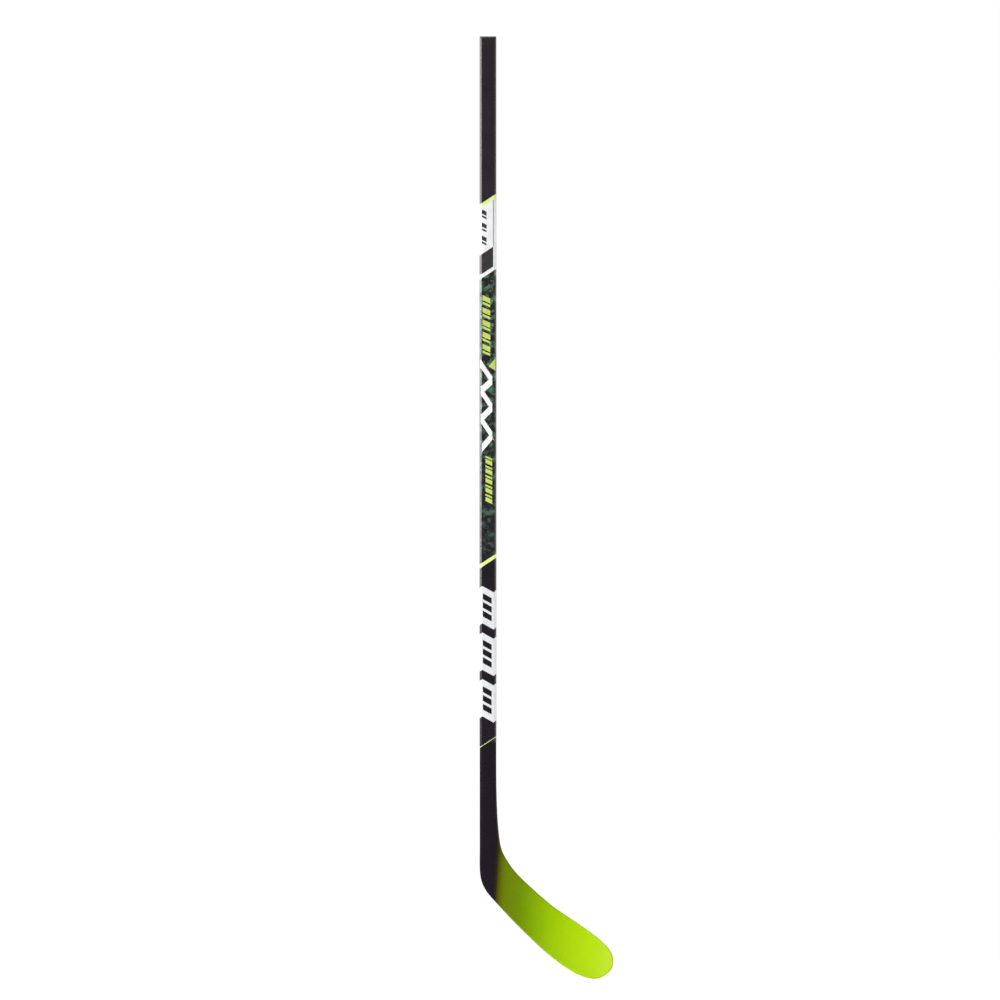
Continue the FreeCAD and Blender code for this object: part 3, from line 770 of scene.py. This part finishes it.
def camouflage():
    """Jagged green patches on charcoal, bright at the top of the wrap and dull at its bottom."""
    f = Finish("camouflage_film", coat_weight=0.4, coat_roughness=0.14)
    warp_scale, warp_reach, fade_length = 260.0, 6.0, 60.0
    warp = f.add("ShaderNodeTexNoise", {"Vector": f.place, "Scale": warp_scale, "Detail": 2.0}).outputs[1]
    shift = f.add("ShaderNodeVectorMath", {0: warp, 1: (0.5, 0.5, 0.5)}, operation="SUBTRACT").outputs[0]
    shift = f.add("ShaderNodeVectorMath", {0: shift, "Scale": warp_reach * MM}, operation="SCALE").outputs[0]
    place = f.add("ShaderNodeVectorMath", {0: f.place, 1: shift}, operation="ADD").outputs[0]
    shards = f.cells(2.9, place=place, distance="MANHATTAN").outputs["Position"]
    broad = f.noise(10.5, detail=1, place=shards)
    fine = f.noise(4.2, detail=1, place=shards)
    pattern = f.math("ADD", f.math("MULTIPLY", broad, 0.75), f.math("MULTIPLY", fine, 0.25))
    bright_stops = ((0.0, paint(32, 27, 31)), (0.50, paint(46, 52, 48)), (0.535, paint(66, 98, 76)),
                    (0.60, paint(94, 130, 104)))
    dull_stops = ((0.0, paint(29, 26, 31)), (0.50, paint(36, 43, 41)), (0.545, paint(44, 63, 55)),
                  (0.60, paint(54, 75, 66)))
    bright = f.ramp(pattern, bright_stops, hard=True)
    dull = f.ramp(pattern, dull_stops, hard=True)
    fade = f.between(f.z, CAMO_BOTTOM * MM, (CAMO_TOP - fade_length) * MM)
    colour = f.mix(fade, dull, bright)
    roughness = f.between(f.noise(9, detail=3), 0.3, 0.7, 0.24, 0.32)
    return f.finish(colour, roughness, f.noise(0.5, detail=2), depth=0.01, strength=0.25)


def blade_laminate():
    """Gloss paint that fades from black at the heel, through olive, to lime at the toe. The fade is partly
    print and partly painted light, brighter towards the toe where the curved face turns to the light, and
    the weave's top tows carry a faint painted sheen.
    """
    f = Finish("blade_laminate", coat_weight=0.06, coat_roughness=0.12, specular_ior_level=0.1)
    above_heel = f.math("MAXIMUM", f.math("ADD", f.z, LEAN_START * MM), 0.0)
    lean = f.math("MULTIPLY", above_heel, FADE_LEAN)
    reach = f.between(f.math("SUBTRACT", f.x, lean), 0.0, FADE_REACH * MM)
    # Partly print, partly painted light: the stops grow brighter towards the toe, as the curved face turns
    # to the light.
    stops = (
        (0.036, paint(28, 22, 30)), (0.056, paint(39, 38, 4)), (0.078, paint(71, 74, 0)),
        (0.096, paint(86, 95, 0)), (0.13, paint(96, 114, 0)), (0.25, paint(99, 128, 0)),
        (0.34, paint(112, 147, 0)), (0.50, paint(136, 174, 0)), (0.66, paint(151, 188, 0)),
        (0.80, paint(159, 196, 0)), (0.90, paint(163, 198, 22)), (0.98, paint(167, 200, 34)),
    )
    base = f.ramp(reach, stops)
    weave, over = f.twill()
    # Painted sheen: the tows on top are painted a little darker, as the fibres' sheen would show them
    # through the paint.
    tow_sheen = f.mix(f.math("MULTIPLY", over, 0.03), base, paint(30, 30, 26))
    speck = f.between(f.noise(0.8, detail=2), 0.68, 0.75)
    low = f.between(f.z, WEAR_LOW * MM, WEAR_HIGH * MM, 1.0, 0.0)
    worn = f.math("MULTIPLY", speck, f.math("MULTIPLY", low, 0.25))
    colour = f.mix(worn, tow_sheen, paint(70, 72, 40))
    even = f.between(f.noise(14, detail=3), 0.3, 0.7, 0.24, 0.33)
    roughness = f.math("ADD", even, f.math("MULTIPLY", worn, 0.4))
    height = f.math("ADD", f.math("MULTIPLY", weave, 0.4), f.math("MULTIPLY", f.noise(0.6, detail=2), 0.6))
    return f.finish(colour, roughness, height, depth=0.006, strength=0.2)


def moulded_plug():
    """Injection-moulded plastic with a spark-eroded grain, coloured lighter than the shaft as a painted
    highlight for its rim.
    """
    f = Finish("moulded_plug", specular_ior_level=0.5)
    cloudy = f.noise(12, detail=2)
    # Painted highlight: the plug is coloured lighter than the shaft so that its rounded rim reads bright.
    colour = f.ramp(cloudy, ((0.3, paint(76, 63, 69)), (0.7, paint(88, 74, 80))))
    grain = f.cells(0.45).outputs["Distance"]
    roughness = f.between(grain, 0.0, 0.7, 0.36, 0.5)
    return f.finish(colour, roughness, grain, depth=0.03, strength=0.5)


def bare_laminate():
    """Uncoated carbon twill with dry resin between its tows, and a painted sheen that makes the tows on top
    lighter.
    """
    f = Finish("bare_laminate", specular_ior_level=0.5)
    weave, over = f.twill()
    # Painted sheen: the tows on top are painted lighter than those beneath.
    colour = f.mix(over, paint(30, 30, 33), paint(58, 58, 63))
    colour = f.mix(f.between(weave, 0.0, 0.35, 0.6, 0.0), colour, paint(14, 14, 16))
    roughness = f.between(weave, 0.0, 1.0, 0.55, 0.34)
    return f.finish(colour, roughness, weave, depth=0.12, strength=0.8)


def epoxy():
    """Set structural adhesive: honey-coloured, with trapped bubbles."""
    f = Finish("epoxy", subsurface_weight=0.15, subsurface_scale=0.002)
    cloudy = f.noise(7, detail=3)
    bubbles = f.between(f.cells(1.6).outputs["Distance"], 0.12, 0.2)
    colour = f.ramp(cloudy, ((0.3, paint(150, 112, 58)), (0.7, paint(186, 150, 92))))
    colour = f.mix(bubbles, paint(214, 190, 140), colour)
    return f.finish(colour, f.between(cloudy, 0.3, 0.7, 0.2, 0.36), bubbles, depth=0.05, strength=0.5)


def foam():
    """Rigid closed-cell foam with cut cells on its faces, painted darker in their hollows as painted shade.
    """
    f = Finish("foam")
    cell = f.cells(0.9).outputs["Distance"]
    tone = f.noise(16, detail=3)
    colour = f.ramp(tone, ((0.3, paint(206, 190, 150)), (0.7, paint(226, 214, 178))))
    # Painted shade: each cut cell is painted darker towards its middle, where its hollow lies.
    colour = f.mix(f.between(cell, 0.0, 0.35, 0.35, 0.0), colour, paint(160, 142, 102))
    return f.finish(colour, f.between(cell, 0.0, 0.6, 0.95, 0.75), cell, depth=0.2, strength=0.8)


def make_films():
    """Every printed finish, by name."""
    return {
        "lime_film": film("lime_film", paint(222, 240, 148), paint(210, 230, 132), 0.24),
        "white_film": film("white_film", paint(234, 235, 236), paint(225, 227, 229), 0.26),
        "dark_film": film("dark_film", paint(25, 19, 28), paint(20, 16, 23), 0.26),
        "charcoal_ink": film("charcoal_ink", paint(56, 51, 54), paint(50, 46, 49), 0.3),
        "grey_ink": film("grey_ink", paint(120, 118, 120), paint(96, 94, 98), 0.3),
        "lime_ink": film("lime_ink", paint(193, 213, 105), paint(179, 201, 90), 0.24),
        "white_ink": film("white_ink", paint(236, 237, 237), paint(228, 230, 231), 0.26),
        "block_ink": film("block_ink", paint(217, 219, 221), paint(208, 211, 213), 0.28),
        "camouflage_film": camouflage(),
    }


def finish_inner_nodes():
    """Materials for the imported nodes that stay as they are, inside the shaft and the blade."""
    finishes = {
        bare_laminate(): ("fuse_tenon", "core_bridge"),
        epoxy(): ("fuse_adhesive",),
        foam(): ("hosel_core", "blade_core_upper", "blade_core_lower"),
    }
    for material, names in finishes.items():
        for name in names:
            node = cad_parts[name]
            node.data.materials.clear()
            node.data.materials.append(material)


# ---------------------------------------------------------------- the studio

def soft_light(name, location, target, width, height, radiance, colour=(1, 1, 1)):
    """A rectangular light of the given radiance, aimed at a point."""
    data = bpy.data.lights.new(name, "AREA")
    data.shape = "RECTANGLE"
    data.size, data.size_y = width, height
    data.energy = radiance * math.pi * width * height
    data.color = colour
    light = bpy.data.objects.new(name, data)
    light.location = location
    light.rotation_euler = (Vector(target) - Vector(location)).to_track_quat("-Z", "Y").to_euler()
    bpy.context.scene.collection.objects.link(light)


def soft_sun(name, azimuth, elevation, strength):
    """A wide, even light from far off. Azimuth 0 comes from the camera's side and 90 from the toe's."""
    data = bpy.data.lights.new(name, "SUN")
    data.energy = strength
    data.angle = math.radians(40)
    around, up = math.radians(azimuth), math.radians(elevation)
    back = Vector((math.sin(around) * math.cos(up), -math.cos(around) * math.cos(up), math.sin(up)))
    light = bpy.data.objects.new(name, data)
    light.rotation_euler = back.to_track_quat("Z", "Y").to_euler()
    bpy.context.scene.collection.objects.link(light)


def make_world():
    """White behind the stick, and a dim even surround for its reflections."""
    world = bpy.data.worlds.new("studio")
    bpy.context.scene.world = world
    world.use_nodes = True
    surround, white = (0.12, 0.117, 0.12, 1.0), (1.0, 1.0, 1.0, 1.0)
    tree = world.node_tree
    background = tree.nodes["Background"]
    background.inputs["Color"].default_value = surround
    seen = tree.nodes.new("ShaderNodeBackground")
    seen.inputs["Color"].default_value = white
    path = tree.nodes.new("ShaderNodeLightPath")
    mix = tree.nodes.new("ShaderNodeMixShader")
    tree.links.new(path.outputs["Is Camera Ray"], mix.inputs[0])
    tree.links.new(background.outputs[0], mix.inputs[1])
    tree.links.new(seen.outputs[0], mix.inputs[2])
    tree.links.new(mix.outputs[0], tree.nodes["World Output"].inputs[0])


def make_floor():
    """A pale round floor under the blade."""
    radius, steps, gap = 3.2, 96, 0.0005
    level = cad_low.z - gap
    rim = [(radius * math.cos(k / steps * math.tau), radius * math.sin(k / steps * math.tau), level)
           for k in range(steps)]
    mesh = bpy.data.meshes.new("floor")
    mesh.from_pydata(rim, [], [tuple(range(steps))])
    f = Finish("floor", emission_color=(1.0, 1.0, 1.0, 1.0), emission_strength=0.3)
    tone = f.noise(300, detail=3)
    colour = f.ramp(tone, ((0.3, paint(243, 243, 243)), (0.7, paint(247, 247, 247))))
    mesh.materials.append(f.finish(colour, f.between(tone, 0.3, 0.7, 0.7, 0.8)))
    floor = bpy.data.objects.new("floor", mesh)
    floor.visible_glossy = False
    bpy.context.scene.collection.objects.link(floor)


def make_camera():
    """A long lens, level with the middle of the stick, that looks square at the forehand face."""
    picture_width, picture_middle, lens, sensor = 1.7758, (0.0213, -0.8234), 1500.0, 36.0
    distance = lens / sensor * picture_width
    data = bpy.data.cameras.new("camera")
    data.lens, data.sensor_width = lens, sensor
    data.clip_end = 200.0
    camera = bpy.data.objects.new("camera", data)
    camera.location = (picture_middle[0], -distance - HALF_DEPTH * MM, picture_middle[1])
    camera.rotation_euler = (math.pi / 2, 0.0, 0.0)
    bpy.context.scene.collection.objects.link(camera)
    bpy.context.scene.camera = camera


def make_studio():
    """The surround, the floor, the lights and the camera."""
    make_world()
    make_floor()
    soft_light("left_panel", location=(-2.4, -0.6, -0.2), target=(0.0, 0.0, -0.2),
               width=1.6, height=1.6, radiance=11.0)
    soft_light("left_front_panel", location=(-2.0, -1.7, -0.55), target=(0.0, 0.0, -0.55),
               width=0.7, height=0.85, radiance=8.0)
    soft_light("right_panel", location=(2.6, -0.5, -0.6), target=(0.0, 0.0, -0.7),
               width=1.6, height=2.0, radiance=3.0, colour=(1.0, 0.93, 0.88))
    soft_sun("front_sun", azimuth=-8, elevation=50, strength=0.75)
    soft_sun("back_sun", azimuth=170, elevation=50, strength=2.4)
    make_camera()
    bpy.context.scene.view_settings.view_transform = "Standard"


make_studio()
make_shaft(coated_laminate())
make_prints(make_films())
make_plug(moulded_plug())
make_blade(blade_laminate())
finish_inner_nodes()
